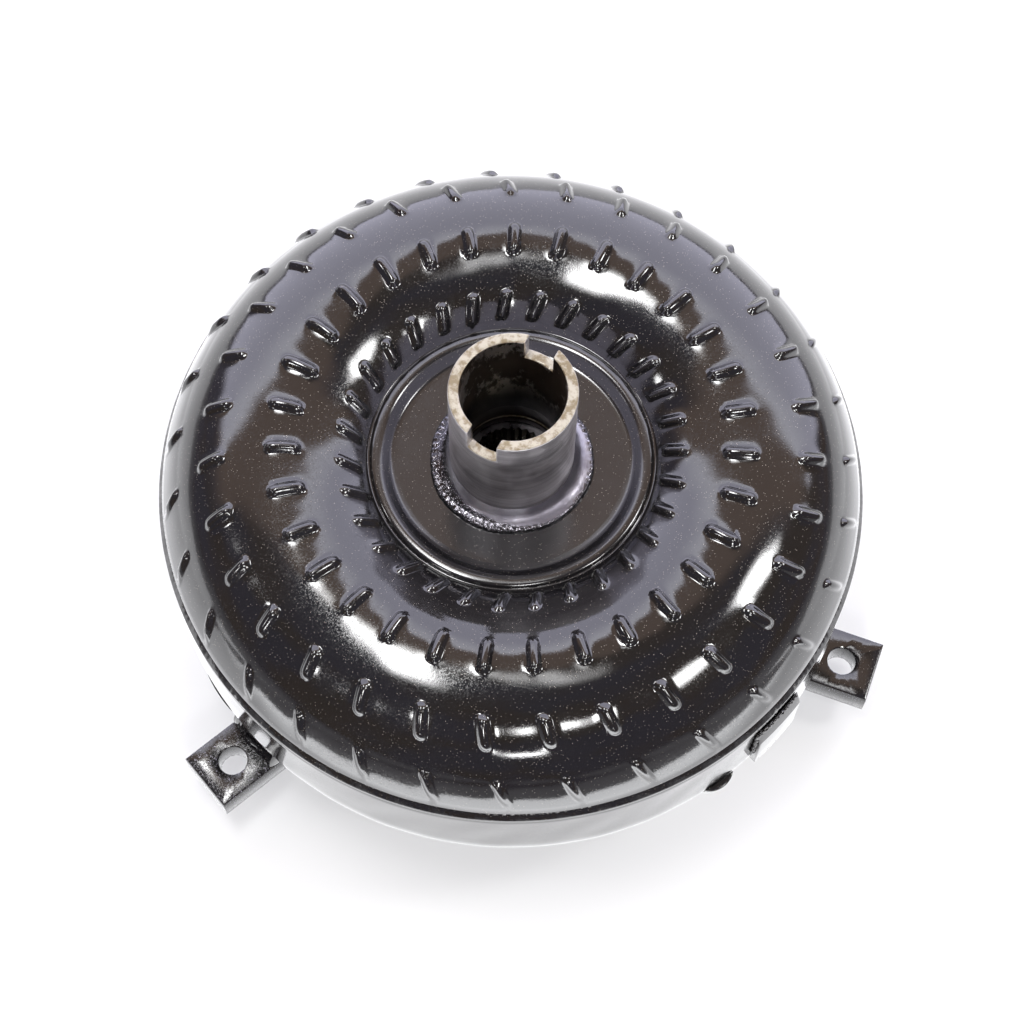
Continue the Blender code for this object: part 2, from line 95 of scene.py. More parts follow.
# For each row: section angles of its ends, half width and height
DIMPLE_ROWS = (
    (68.0, 54.0, 2.4, 1.7),
    (39.0, 22.7, 2.8, 2.1),
    (5.0, -12.5, 2.8, 2.1),
    (-28.6, -43.8, 2.5, 2.0),
)
FINE_CELLS = 7  # grid cells on each side of a dimple's middle line
COARSE_CELLS = 3
FINE_HALF = 3.2
TORUS_SPAN = (56.0, -44.1)  # section angles of the torus part's ends
# Degrees of section angle from row to row: at a dimple's end, along a dimple, and elsewhere
END_STEP, DIMPLE_STEP, OPEN_STEP = 0.62, 1.3, 1.9


# ---------------------------------------------------------------- meshes


def polar(radius, degrees, z):
    angle = math.radians(degrees)
    return (radius * math.cos(angle), radius * math.sin(angle), z)


def arc(centre, radius, start, end, steps):
    angles = np.radians(np.linspace(start, end, steps + 1))
    return [(centre[0] + radius * math.cos(a), centre[1] + radius * math.sin(a)) for a in angles]


def rounded(corners, steps=4):
    """An open outline of (r, z, radius) corners, each rounded to its radius; the ends stay as they are."""
    outline = [corners[0][:2]]
    for before, corner, after in zip(corners, corners[1:], corners[2:]):
        here = np.array(corner[:2])
        back = np.array(before[:2]) - here
        ahead = np.array(after[:2]) - here
        back_length, ahead_length = np.linalg.norm(back), np.linalg.norm(ahead)
        back, ahead = back / back_length, ahead / ahead_length
        turn = math.acos(float(np.clip(back @ ahead, -1, 1)))
        cut = min(corner[2] / math.tan(turn / 2), 0.49 * back_length, 0.49 * ahead_length)
        if cut < 1e-3:
            outline.append(corner[:2])
            continue
        for share in np.linspace(0, 1, steps + 1):
            start, end = here + back * cut, here + ahead * cut
            point = (1 - share) ** 2 * start + 2 * share * (1 - share) * here + share**2 * end
            outline.append((float(point[0]), float(point[1])))
    outline.append(corners[-1][:2])
    return outline


def ring_faces(rows, columns, close_rows):
    """Quads of a grid that wraps in its columns, and in its rows where close_rows is set."""
    last = rows if close_rows else rows - 1
    row, column = np.meshgrid(np.arange(last), np.arange(columns), indexing="ij")
    after_row, after_column = (row + 1) % rows, (column + 1) % columns
    corners = (row * columns + column, row * columns + after_column)
    corners += (after_row * columns + after_column, after_row * columns + column)
    return np.stack(corners, axis=-1).reshape(-1, 4).tolist()


def tube_faces(rings, columns):
    """Quads of a tube made of rings, and a cap for each of its ends."""
    faces = ring_faces(rings, columns, False)
    faces.append(list(range(columns))[::-1])
    faces.append(list(range((rings - 1) * columns, rings * columns)))
    return faces


def place_object(name, data):
    made = bpy.data.objects.new(name, data)
    bpy.context.scene.collection.objects.link(made)
    return made


def turn_piece(piece, degrees):
    """Turn a piece's mesh about the axis."""
    piece.data.transform(Quaternion((0, 0, 1), math.radians(degrees)).to_matrix().to_4x4())


def add_object(name, points, faces, finish, sharp=35.0):
    """A closed mesh from points in millimetres, shaded smooth but for its sharp edges."""
    mesh = bpy.data.meshes.new(name)
    mesh.from_pydata((np.asarray(points, float).reshape(-1, 3) * MM).tolist(), [], faces)
    mesh.validate()
    bm = bmesh.new()
    bm.from_mesh(mesh)
    bmesh.ops.recalc_face_normals(bm, faces=bm.faces)
    bm.to_mesh(mesh)
    bm.free()
    mesh.shade_smooth()
    mesh.set_sharp_from_angle(angle=math.radians(sharp))
    mesh.materials.append(finish)
    return place_object(name, mesh)


def outline_normals(outline):
    """Unit normals of an outline in the (r, z) plane, to the left of its direction."""
    slope = np.gradient(np.asarray(outline, float), axis=0)
    normal = np.stack([-slope[:, 1], slope[:, 0]], axis=-1)
    return normal / np.linalg.norm(normal, axis=-1, keepdims=True)


def turned_grid(outline, columns):
    """Radius, angle and height of a grid turned about the axis, each as (row, column)."""
    r, z = np.asarray(outline, float).T
    angle = np.linspace(0, 360, columns, endpoint=False)
    shape = (len(r), columns)
    return tuple(np.broadcast_to(values, shape) for values in (r[:, None], angle[None], z[:, None]))


def to_points(r, angle, z):
    a = np.radians(angle)
    return np.stack([r * np.cos(a), r * np.sin(a), z], axis=-1)


def turned(name, outline, columns, finish, change=None):
    """A turned piece. An outline that ends on the axis is closed with fans, any other is a closed ring."""
    capped = outline[0][0] < 1e-6
    rows = outline[1:-1] if capped else outline
    r, angle, z = turned_grid(rows, columns)
    if change:
        r, z = change(r, angle, z)
    points = to_points(r, angle, z).reshape(-1, 3)
    faces = ring_faces(len(rows), columns, not capped)
    if capped:
        first, last = len(points), len(points) + 1
        points = np.vstack([points, (0, 0, outline[0][1]), (0, 0, outline[-1][1])])
        top = (len(rows) - 1) * columns
        for column in range(columns):
            after = (column + 1) % columns
            faces.append([first, after, column])
            faces.append([last, top + column, top + after])
    return add_object(name, points, faces, finish)


def ripple(angle, along, size, counts, seed):
    """A smooth unevenness of about the given size, from waves round the axis and along the section."""
    random = np.random.default_rng(seed)
    total = np.zeros_like(angle)
    for count in counts:
        turns = random.integers(count // 2, count + 1)
        rise, start = random.uniform(-1, 1), random.uniform(0, 6.28)
        total += np.sin(np.radians(angle) * turns + along * rise * count / 130.0 + start)
    return total * size / math.sqrt(len(counts))


# ---------------------------------------------------------------- materials


PAINT_COLOUR = (0.0032, 0.0030, 0.0034)
# Colour of the nibs' pale dots: partly dust, partly painted glints
DUST_AND_GLINT_COLOUR = (0.19, 0.168, 0.145)
BLASTED_COLOUR = (0.15, 0.14, 0.18)
DULL_MIDDLE = 0.15  # least roughness of the paint on the plate and its lip


class Nodes:
    """A node tree, with short calls for the nodes that the finishes share."""

    def __init__(self, tree, place="Object"):
        self.tree = tree
        self.place = self.add("ShaderNodeTexCoord").outputs[place]

    def add(self, kind, **settings):
        node = self.tree.nodes.new(kind)
        for key, value in settings.items():
            setattr(node, key, value)
        return node

    def link(self, source, target):
        self.tree.links.new(source, target)

    def set(self, node, **values):
        for key, value in values.items():
            socket = node.inputs[key.replace("_", " ")]
            if isinstance(value, bpy.types.NodeSocket):
                self.link(value, socket)
            else:
                socket.default_value = value
        return node

    def stretched(self, scale):
        """The object's own coordinates, scaled by axis."""
        return self.set(self.add("ShaderNodeMapping"), Vector=self.place, Scale=scale).outputs["Vector"]

    def noise(self, scale, detail=2.0, roughness=0.5, place=None):
        node = self.add("ShaderNodeTexNoise")
        self.set(node, Vector=place or self.place, Scale=scale, Detail=detail, Roughness=roughness)
        return node.outputs["Fac"]

    def cells(self, scale):
        node = self.set(self.add("ShaderNodeTexVoronoi"), Vector=self.place, Scale=scale)
        return node.outputs["Distance"], node.outputs["Color"]

    def remap(self, value, low, high, to_low=0.0, to_high=1.0):
        node = self.add("ShaderNodeMapRange", interpolation_type="SMOOTHSTEP")
        sockets = node.inputs
        self.link(value, sockets["Value"])
        sockets["From Min"].default_value, sockets["From Max"].default_value = low, high
        sockets["To Min"].default_value, sockets["To Max"].default_value = to_low, to_high
        return node.outputs["Result"]

    def math(self, operation, first, second):
        node = self.add("ShaderNodeMath", operation=operation)
        for socket, value in zip(node.inputs, (first, second)):
            if isinstance(value, bpy.types.NodeSocket):
                self.link(value, socket)
            else:
                socket.default_value = value
        return node.outputs["Value"]

    def parts(self, vector):
        """The X, Y and Z of a vector."""
        return self.set(self.add("ShaderNodeSeparateXYZ"), Vector=vector).outputs

    def length(self, vector):
        node = self.add("ShaderNodeVectorMath", operation="LENGTH")
        return self.set(node, Vector=vector).outputs["Value"]

    def from_axis(self):
        """The distance from the rotation axis."""
        return self.length(self.stretched((1, 1, 0)))

    def facing(self):
        """The place's X, Y and Z once Y points straight away from the photo's viewpoint."""
        node = self.add("ShaderNodeVectorRotate", rotation_type="Z_AXIS")
        self.set(node, Vector=self.place, Angle=math.radians(-CAMERA_AROUND))
        return self.parts(node.outputs["Vector"])

    def choose(self, share, first, second):
        """A number between two others."""
        node = self.add("ShaderNodeMix", data_type="FLOAT")
        for socket, value in zip((s for s in node.inputs if s.type == "VALUE"), (share, first, second)):
            self.link(value, socket)
        return [s for s in node.outputs if s.type == "VALUE"][0]

    def blend(self, share, first, second):
        """A colour between two others."""
        node = self.add("ShaderNodeMix", data_type="RGBA")
        self.link(share, node.inputs["Factor"])
        colours = [socket for socket in node.inputs if socket.type == "RGBA"]
        for socket, value in zip(colours, (first, second)):
            if isinstance(value, bpy.types.NodeSocket):
                self.link(value, socket)
            else:
                socket.default_value = (*value, 1)
        return [s for s in node.outputs if s.type == "RGBA"][0]

    def bump(self, height, distance, strength=1.0, under=None):
        node = self.set(self.add("ShaderNodeBump"), Height=height, Distance=distance, Strength=strength)
        if under:
            self.link(under, node.inputs["Normal"])
        return node.outputs["Normal"]


class Shader(Nodes):
    """The nodes of a new material."""

    def __init__(self, name, color, roughness, metallic=0.0):
        self.material = bpy.data.materials.new(name)
        self.material.use_nodes = True
        super().__init__(self.material.node_tree)
        self.surface = self.tree.nodes["Principled BSDF"]
        self.surface.inputs["Base Color"].default_value = (*color, 1)
        self.surface.inputs["Roughness"].default_value = roughness
        self.surface.inputs["Metallic"].default_value = metallic


def black_paint(name, blasted=None):
    """Gloss enamel with dust nibs, orange peel and a fine dry spray. The nibs' pale dots are partly dust and
    partly painted glints.

    It is thin and speckled over blasted steel. blasted is None, "all", or "sides" for
    every face but the level ones.
    """
    shader = Shader(name, PAINT_COLOUR, 0.05)
    surface = shader.surface
    distance, colour = shader.cells(1250.0)
    # Pale dots over the enamel: partly dust, partly painted glints
    dot = shader.remap(distance, 0.19, 0.09)
    dust_and_glint_dots = shader.math("MULTIPLY", dot, shader.remap(colour, 0.40, 0.75))
    tint = shader.blend(dust_and_glint_dots, PAINT_COLOUR, DUST_AND_GLINT_COLOUR)
    spray = shader.noise(1700.0, 2.0, 0.7)
    patch = shader.remap(shader.noise(14.0, 3.0), 0.35, 0.65, 0.6, 1.4)
    haze = shader.math("MULTIPLY", shader.remap(spray, 0.42, 0.68, 0.025, 0.19), patch)
    haze = shader.math("MAXIMUM", haze, shader.remap(shader.from_axis(), 0.058, 0.052, 0.0, DULL_MIDDLE))
    peel = shader.bump(shader.noise(150.0, 2.0), 0.000012)
    raised = shader.bump(spray, 0.000012, under=peel)
    if blasted:
        grit = shader.noise(1500.0, 3.0, 0.6)
        fleck = shader.remap(grit, 0.61, 0.68)
        rough = shader.remap(grit, 0.45, 0.62, 0.12, 0.34)
        if blasted == "sides":
            normal = shader.add("ShaderNodeNewGeometry").outputs["Normal"]
            up = shader.parts(normal)["Z"]
            sides = shader.remap(shader.math("ABSOLUTE", up, 0.0), 0.9, 0.6)
            fleck, rough, grit = (shader.math("MULTIPLY", value, sides) for value in (fleck, rough, grit))
        tint = shader.blend(fleck, tint, BLASTED_COLOUR)
        haze = shader.math("MAXIMUM", haze, rough)
        raised = shader.bump(grit, 0.000025, under=raised)
    shader.link(tint, surface.inputs["Base Color"])
    shader.link(shader.math("MAXIMUM", haze, shader.math("MULTIPLY", dust_and_glint_dots, 0.4)), surface.inputs["Roughness"])
    shader.link(raised, surface.inputs["Normal"])
    return shader.material


def turned_steel(name):
    """Bare lathe-turned steel with grain round the axis, oil in the bore, painted shade deeper down the
    bore, and a pale, mottled end face.
    """
    shader = Shader(name, (0.16, 0.15, 0.155), 0.34, 1.0)
    fine = shader.noise(1.0, 3.0, 0.6, place=shader.stretched((9.0, 9.0, 3200.0)))
    broad = shader.noise(1.0, 3.0, 0.6, place=shader.stretched((14.0, 14.0, 420.0)))
    grain = shader.math("ADD", shader.math("MULTIPLY", fine, 0.6), shader.math("MULTIPLY", broad, 0.4))
    steel = shader.blend(shader.remap(grain, 0.38, 0.62), (0.33, 0.315, 0.33), (0.56, 0.54, 0.56))
    up = shader.parts(shader.add("ShaderNodeNewGeometry").outputs["Normal"])["Z"]
    end = shader.remap(up, 0.35, 0.8)
    burnish = shader.noise(330.0, 4.0, 0.65)
    mottle = shader.blend(shader.remap(burnish, 0.38, 0.60), (0.095, 0.072, 0.038), (0.215, 0.198, 0.160))
    bore = shader.remap(shader.from_axis(), 0.0213, 0.0203)
    stain = shader.noise(1.0, 5.0, 0.7, place=shader.stretched((70.0, 70.0, 40.0)))
    smear = shader.blend(shader.remap(stain, 0.50, 0.57), (0.12, 0.090, 0.070), (0.90, 0.83, 0.78))
    height = shader.parts(shader.place)["Z"]
    # Painted shade: the bore's colour goes dark deeper down, below the oily smear
    oily = shader.blend(shader.remap(height, 0.146, 0.128), smear, (0.030, 0.024, 0.026))
    sides = shader.blend(bore, steel, oily)
    shader.link(shader.blend(end, sides, mottle), shader.surface.inputs["Base Color"])
    shader.link(shader.remap(end, 0, 1, 1.0, 0.35), shader.surface.inputs["Metallic"])
    rough = shader.remap(shader.noise(120.0, 2.0), 0.35, 0.65, 0.38, 0.48)
    wet = shader.remap(stain, 0.40, 0.60, 0.42, 0.28)
    shader.link(shader.choose(bore, rough, wet), shader.surface.inputs["Roughness"])
    turned_bump = shader.bump(fine, 0.000012)
    dents = shader.math("MULTIPLY", burnish, end)
    shader.link(shader.bump(dents, 0.00012, under=turned_bump), shader.surface.inputs["Normal"])
    return shader.material


def weld_metal(name):
    """A weld bead: bright bare metal next to the tube, running out under thin speckled paint at its toe. The
    dark paint reaches further in on one side as painted shade.
    """
    shader = Shader(name, (0.12, 0.115, 0.125), 0.3, 0.9)
    broad = shader.noise(38.0, 3.0, 0.55)
    reach = shader.math("ADD", shader.from_axis(), shader.math("MULTIPLY", broad, 0.010))
    # The shift with X and Y widens the dark paint on one side: painted shade on top of the real paint at the
    # toe
    parts = shader.parts(shader.place)
    across, along = shader.math("MULTIPLY", parts["X"], -0.085), shader.math("MULTIPLY", parts["Y"], -0.02)
    painted = shader.remap(shader.math("ADD", reach, shader.math("ADD", across, along)), 0.0315, 0.0335)
    speck = shader.remap(shader.noise(1300.0, 3.0, 0.7), 0.53, 0.62)
    metal = shader.blend(shader.remap(broad, 0.40, 0.60), (0.085, 0.08, 0.095), (0.24, 0.235, 0.26))
    film = shader.blend(speck, (0.02, 0.019, 0.022), (0.17, 0.165, 0.18))
    shader.link(shader.blend(painted, metal, film), shader.surface.inputs["Base Color"])
    shader.link(shader.remap(painted, 0, 1, 0.33, 0.14), shader.surface.inputs["Roughness"])
    lumps = shader.bump(shader.noise(160.0, 2.0, 0.5), 0.00010)
    shader.link(shader.bump(speck, 0.00002, under=lumps), shader.surface.inputs["Normal"])
    return shader.material


def machined(name, dark, light, roughness, metallic=1.0, grain_scale=900.0):
    """Oily machined metal: two close tones, uneven roughness and a fine grain."""
    shader = Shader(name, dark, roughness, metallic)
    tone = shader.noise(45.0, 4.0, 0.6)
    tint = shader.blend(shader.remap(tone, 0.35, 0.65), dark, light)
    shader.link(tint, shader.surface.inputs["Base Color"])
    oily = shader.remap(shader.noise(90.0, 3.0), 0.35, 0.65, roughness * 0.7, roughness * 1.3)
    shader.link(oily, shader.surface.inputs["Roughness"])
    shader.link(shader.bump(shader.noise(grain_scale, 3.0), 0.00002), shader.surface.inputs["Normal"])
    return shader.material


# ---------------------------------------------------------------- casing


def lean(theta):
    return np.where(theta > 0, LEAN_AT_RIM, LEAN_AT_HUB) * theta**2


def shell_sections():
    """Section angles of the torus part, close together at the dimples' ends."""
    theta, last = TORUS_SPAN
    angles = [theta]
    while theta > last:
        near_end = min(min(abs(theta - a - 1.2), abs(theta - b + 1.2)) for a, b, _, _ in DIMPLE_ROWS)
        inside = any(b - 1 < theta < a + 1 for a, b, _, _ in DIMPLE_ROWS)
        theta -= END_STEP if near_end < 2.4 else DIMPLE_STEP if inside else OPEN_STEP
        angles.append(theta)
    angles[-1] = last
    return angles


def dimple_height(theta, offset, column_sector):
    """How far the dimples stand out of the torus, at a section angle and offset from their middle line."""
    random = np.random.default_rng(SEED)
    height = np.zeros_like(offset)
    for start, end, half, rise in DIMPLE_ROWS:
        length = np.radians(start - end) * SHELL_OUT
        wander = random.normal(0, 0.25, (SECTORS, 2))[column_sector]
        size = random.normal(1, 0.06, (SECTORS, 2))[column_sector]
        along = np.radians(theta - (start + end) / 2) * SHELL_OUT + wander[:, 0]
        across = offset + wander[:, 1] * 0.6
        body = np.maximum(np.abs(along) - (length / 2 - half) * size[:, 0], 0)
        away = np.hypot(body, across) / half
        ridge = np.clip(1 - away**2, 0, 1) ** 1.15
        skirt = np.exp(-((away / 1.05) ** 2) * 1.4)
        height += rise * size[:, 1] * (0.78 * ridge + 0.22 * skirt)
    return height


def make_impeller_shell(finish):
    """The dimpled half of the casing, with the coned plate that carries the hub."""
    section_angles = shell_sections()
    outer = [(135.4, 96.4), (136.1, 97.6), (136.25, 98.8), (136.3, 99.5)]
    outer += [(135.1, 102.1), (133.85, 104.6), (132.5, 107.05), (131.05, 109.4), (129.5, 111.6)]
    theta = [math.degrees(math.atan2(r - TORUS_R, z - TORUS_Z)) for r, z in outer]
    torus = [
        (TORUS_R + SHELL_OUT * math.sin(math.radians(a)), TORUS_Z + SHELL_OUT * math.cos(math.radians(a)))
        for a in section_angles
    ]
    outer += torus
    theta += section_angles
    centre = rounded(
        [(*torus[-1], 0), (54.9, 117.3, 1.5), (53.7, 118.9, 2.2), (50.4, 119.2, 4.5), (46.4, 115.6, 4.8)]
        + [(44.0, PLATE_Z + 0.25, 1.5), (32.0, PLATE_Z, 1.0), (24.2, PLATE_Z, 0)],
        steps=5,
    )[1:]
    inner = [(24.2, 112.1), (46.6, 112.2), (50.5, 116.2), (52.4, 116.2), (54.6, 114.2)]
    inner += arc((TORUS_R, TORUS_Z), SHELL_IN, 137.6, 13.6, 22)
    inner += [(133.2, 96.5)]
    outline = np.array(outer + centre + inner)
    theta += [-90.0] * (len(centre) + len(inner))
    theta = np.array(theta)
    normals = outline_normals(outline)
    sector_cells = 2 * (FINE_CELLS + COARSE_CELLS)
    cell = np.arange(sector_cells) - sector_cells // 2
    r = outline[:, :1]
    half_pitch = math.pi * r / SECTORS
    fine_half = np.minimum(FINE_HALF, 0.55 * half_pitch)
    fine = np.abs(cell) / FINE_CELLS * fine_half
    coarse = fine_half + (np.abs(cell) - FINE_CELLS) / COARSE_CELLS * (half_pitch - fine_half)
    offset = np.sign(cell) * np.where(np.abs(cell) <= FINE_CELLS, fine, coarse)
    offset = np.tile(offset, (1, SECTORS))
    sector = np.repeat(np.arange(SECTORS), sector_cells)
    held = np.clip(theta, -46, 70)[:, None]
    angle = PHASE + sector * 360.0 / SECTORS + lean(held) + np.degrees(offset / r)
    height = dimple_height(theta[:, None], offset, sector)
    height *= np.where(theta > -80, 1, 0)[:, None]
    wavy = np.where(theta > -80, 1, 0.12)[:, None]
    height += ripple(angle, theta[:, None] * 0.8, 0.04, (7, 11, 16, 24, 31), SEED) * wavy
    radius = r - normals[:, :1] * height
    z = outline[:, 1:] - normals[:, 1:] * height
    points = to_points(radius, angle, z)
    return add_object("impeller_shell_skin", points, ring_faces(len(outline), len(sector), True), finish)


def make_cover_skin(finish):
    """The engine-side half of the casing: a pan with a straight wall, a round corner and a dished face."""
    centre = (BODY_R - COVER_CORNER, COVER_FACE_Z + COVER_CORNER)
    dish = [(0, DISH_Z, 0), (DISH_R, DISH_Z, 4.0), (DISH_R + 7, COVER_FACE_Z, 4.0)]
    outer = rounded(dish + [(centre[0], COVER_FACE_Z, 0)])
    outer += arc(centre, COVER_CORNER, -88, 0, 20)
    outer += [(BODY_R, z) for z in np.linspace(centre[1] + 3, 94.4, 9)]
    outer += [(BODY_R - 0.35, 95.2), (BODY_R - 1.3, 95.9), (BODY_R - COVER_WALL, 96.0)]
    inner = [(BODY_R - COVER_WALL, 80.0)]
    inner += arc(centre, COVER_CORNER - COVER_WALL, 0, -90, 10)
    inner += [(DISH_R + 6, COVER_FACE_Z + COVER_WALL)]
    inner += [(DISH_R - 1, DISH_Z + COVER_WALL), (0, DISH_Z + COVER_WALL)]

    def uneven(r, angle, z):
        share = np.clip((r - 100) / 38, 0, 1)
        wave = ripple(angle, z * 1.4, 0.09, (5, 9, 16, 27, 40), SEED + 1) * share
        return r + wave, z

    return turned("front_cover_skin", outer + inner, 480, finish, uneven)


def make_seam_weld(finish):
    """The weld between the two halves: a sunk, faintly rippled ledge under the shell's edge."""
    outline = rounded(
        [(134.6, 96.4, 0), (134.6, 98.6, 0.3), (135.3, 98.4, 0.3), (136.3, 97.8, 0.8), (138.0, 95.7, 0.4)]
        + [(138.1, 94.4, 0.4), (137.3, 93.6, 0.3), (135.0, 93.8, 0)],
        steps=3,
    )

    def beads(r, angle, z):
        turn = np.radians(angle)
        scallop = 0.07 * np.sin(turn * 290 + 2.5 * np.sin(turn * 3)) + 0.1 * np.sin(turn * 57 + z)
        upper = np.clip((z - 95.0) / 1.5, 0, 1)
        return r + 0.25 * scallop * upper, z + scallop * upper

    return turned("seam_weld", outline, 1240, finish, beads)


def make_pilot(finish):
    outline = rounded(
        [(0, 0, 0), (PILOT_R - 1.5, 0, 0.6), (PILOT_R, 1.5, 0.6), (PILOT_R, PILOT_TOP - 6, 2.5)]
        + [(PILOT_R + 3, PILOT_TOP - 1.5, 1.5), (PILOT_R + 3, PILOT_TOP, 0.2), (0, PILOT_TOP, 0)]
    )
    return turned("crank_pilot_skin", outline, 96, finish)


def make_hub(finish):
    """The pump hub: a tube with two square slots in its end and a flange inside the shell."""
    half_turn = 180.0
    slot_out = math.degrees(math.asin(SLOT_HALF / HUB_R))
    slot_in = math.degrees(math.asin(SLOT_HALF / HUB_BORE_R))
    land_steps, slot_steps = 40, 8
    bm = bmesh.new()
    columns = []
    for side in range(2):
        middle = 90.0 + side * half_turn
        for step in range(slot_steps + 1):
            share = step / slot_steps * 2 - 1
            outside, inside = middle + share * slot_out, middle + share * slot_in
            columns.append((outside, inside, "slot", step in (0, slot_steps)))
        for step in range(1, land_steps):
            share = step / land_steps
            outside = middle + slot_out + share * (half_turn - 2 * slot_out)
            inside = middle + slot_in + share * (half_turn - 2 * slot_in)
            columns.append((outside, inside, "land", False))
    slot_floor = HUB_END_Z - SLOT_DEPTH
    heights = [HUB_FLANGE_Z[1], 125.0, 145.0, slot_floor - 3, slot_floor]
    groove_r = HUB_BORE_R + 0.9
    bore = [(HUB_BORE_R, slot_floor), (HUB_BORE_R, 145.0), (HUB_BORE_R, 121.0), (groove_r, 120.0)]
    bore += [(groove_r, 112.0), (HUB_BORE_R, 111.2), (HUB_BORE_R, HUB_FLANGE_Z[0])]
    outer_rows, inner_rows, out_tops, in_tops, flange = [], [], [], [], []

    def vertex(radius, degrees, z):
        return bm.verts.new([c * MM for c in polar(radius, degrees, z)])

    for outside, inside, kind, edge in columns:
        outer_rows.append([vertex(HUB_R, outside, z) for z in heights])
        inner_rows.append([vertex(radius, inside, z) for radius, z in bore])
        flange.append([vertex(HUB_FLANGE_R, outside, z) for z in HUB_FLANGE_Z])
        high = kind == "land" or edge
        out_tops.append(vertex(HUB_R, outside, HUB_END_Z) if high else None)
        in_tops.append(vertex(HUB_BORE_R, inside, HUB_END_Z) if high else None)
    count = len(columns)
    for index in range(count):
        after = (index + 1) % count
        for rows in (outer_rows, inner_rows):
            for a, b in zip(range(len(rows[0]) - 1), range(1, len(rows[0]))):
                bm.faces.new((rows[index][a], rows[after][a], rows[after][b], rows[index][b]))
        bm.faces.new((inner_rows[index][-1], inner_rows[after][-1], flange[after][0], flange[index][0]))
        bm.faces.new((flange[index][0], flange[after][0], flange[after][1], flange[index][1]))
        bm.faces.new((flange[index][1], flange[after][1], outer_rows[after][0], outer_rows[index][0]))
        in_slot = columns[index][2] == "slot" and columns[after][2] == "slot"
        low_out, low_in = outer_rows[index][-1], inner_rows[index][0]
        next_out, next_in = outer_rows[after][-1], inner_rows[after][0]
        if in_slot:
            bm.faces.new((low_out, next_out, next_in, low_in))
        else:
            bm.faces.new((low_out, next_out, out_tops[after], out_tops[index]))
            bm.faces.new((low_in, next_in, in_tops[after], in_tops[index]))
            bm.faces.new((out_tops[index], out_tops[after], in_tops[after], in_tops[index]))
        if columns[index][3]:
            bm.faces.new((low_out, low_in, in_tops[index], out_tops[index]))
    bmesh.ops.recalc_face_normals(bm, faces=bm.faces)
    mesh = bpy.data.meshes.new("impeller_hub_skin")
    bm.to_mesh(mesh)
    bm.free()
    mesh.materials.append(finish)
    hub = place_object("impeller_hub_skin", mesh)
    soften = hub.modifiers.new("worn_edges", "BEVEL")
    soften.width = 0.55 * MM
    soften.segments = 3
    soften.limit_method = "ANGLE"
    soften.angle_limit = math.radians(40)
    mesh.shade_smooth()
    mesh.set_sharp_from_angle(angle=math.radians(50))
    return hub


def make_hub_weld(finish):
    """The fillet weld between the hub and the flat plate, hollow by the tube with a rounded outer toe."""
    rows, columns = 30, 480
    share = np.linspace(0, 1, rows)[:, None]
    angle = np.linspace(0, 360, columns, endpoint=False)[None]
    turn = np.radians(angle)
    edge = 31.6 + 0.30 * np.sin(turn * 3 + 1) + 0.15 * np.sin(turn * 8) + 0.06 * np.sin(turn * 41)
    top = 121.8 + 0.5 * np.sin(turn * 2) + 0.2 * np.sin(turn * 7 + 2)
    r = HUB_R - 0.05 + (edge - HUB_R) * share**0.85
    z = top + (PLATE_Z - 0.4 - top) * share**0.8
    toe = np.exp(-(((share - 0.80) / 0.17) ** 2))
    bead = 0.07 * np.sin(turn * 75 - share * 5 + 1.5 * np.sin(turn * 4))
    bead = bead + 0.08 * np.sin(turn * 23 + share * 6)
    hollow = np.exp(-(((share - 0.30) / 0.22) ** 2))
    r = r + (0.9 + bead) * toe - 0.35 * hollow
    z = z + (0.9 + bead) * toe - 0.35 * hollow
    r = np.vstack([np.broadcast_to(r, (rows, columns)), edge - 0.6, np.full_like(edge, 23.9)])
    under = np.full_like(edge, PLATE_Z - 1.2), np.full_like(edge, 113.0)
    z = np.vstack([np.broadcast_to(z, (rows, columns)), *under])
    points = to_points(r, np.broadcast_to(angle, r.shape), z)
    return add_object("hub_weld", points, ring_faces(rows + 2, columns, True), finish, sharp=60.0)


def block(outline, hole, levels):
    """Points and faces of a plate with one hole, from rings at (inset, z) levels round both."""
    outline, hole = np.asarray(outline, float), np.asarray(hole, float)
    middle = outline.mean(axis=0)
    rings = []
    for inset, z in levels:
        size = np.abs(outline - middle).max(axis=0)
        ring = middle + (outline - middle) * (1 - inset / size)
        rings.append(np.column_stack([ring, np.full(len(ring), z)]))
    centre = hole.mean(axis=0)
    radius = np.linalg.norm(hole[0] - centre)
    for inset, z in reversed(levels):
        ring = centre + (hole - centre) * (1 + inset / radius)
        rings.append(np.column_stack([ring, np.full(len(ring), z)]))
    return np.vstack(rings), ring_faces(len(rings), len(outline), True)


def lug_outline(points_per_side):
    """The lug's rectangle with as many points as the hole, anticlockwise."""
    half = LUG_WIDTH / 2
    corners = [(LUG_OUTER, half), (LUG_INNER, half), (LUG_INNER, -half), (LUG_OUTER, -half)]
    outline = []
    for start, end in zip(corners, corners[1:] + corners[:1]):
        for share in np.linspace(0, 1, points_per_side, endpoint=False):
            outline.append((start[0] + (end[0] - start[0]) * share, start[1] + (end[1] - start[1]) * share))
    return outline


# A lug's worn edge, as (inset, depth) from its face round to its side
WORN_EDGE = ((0.8, 0.0), (0.25, 0.25), (0.0, 0.8))


def make_lug(number, degrees, finish):
    outline = lug_outline(12)
    around = np.unwrap([math.atan2(y, x - BOLT_CIRCLE_R) for x, y in outline])
    hole = [(BOLT_CIRCLE_R + BOLT_HOLE_R * math.cos(a), BOLT_HOLE_R * math.sin(a)) for a in around]
    low = LUG_TOP_Z - LUG_THICK
    levels = [(inset, low + depth) for inset, depth in WORN_EDGE]
    levels += [(inset, LUG_TOP_Z - depth) for inset, depth in reversed(WORN_EDGE)]
    points, faces = block(outline, hole, levels)
    lug = add_object(f"drive_lug_{number}_skin", points, faces, finish, sharp=30.0)
    turn_piece(lug, degrees)
    return lug


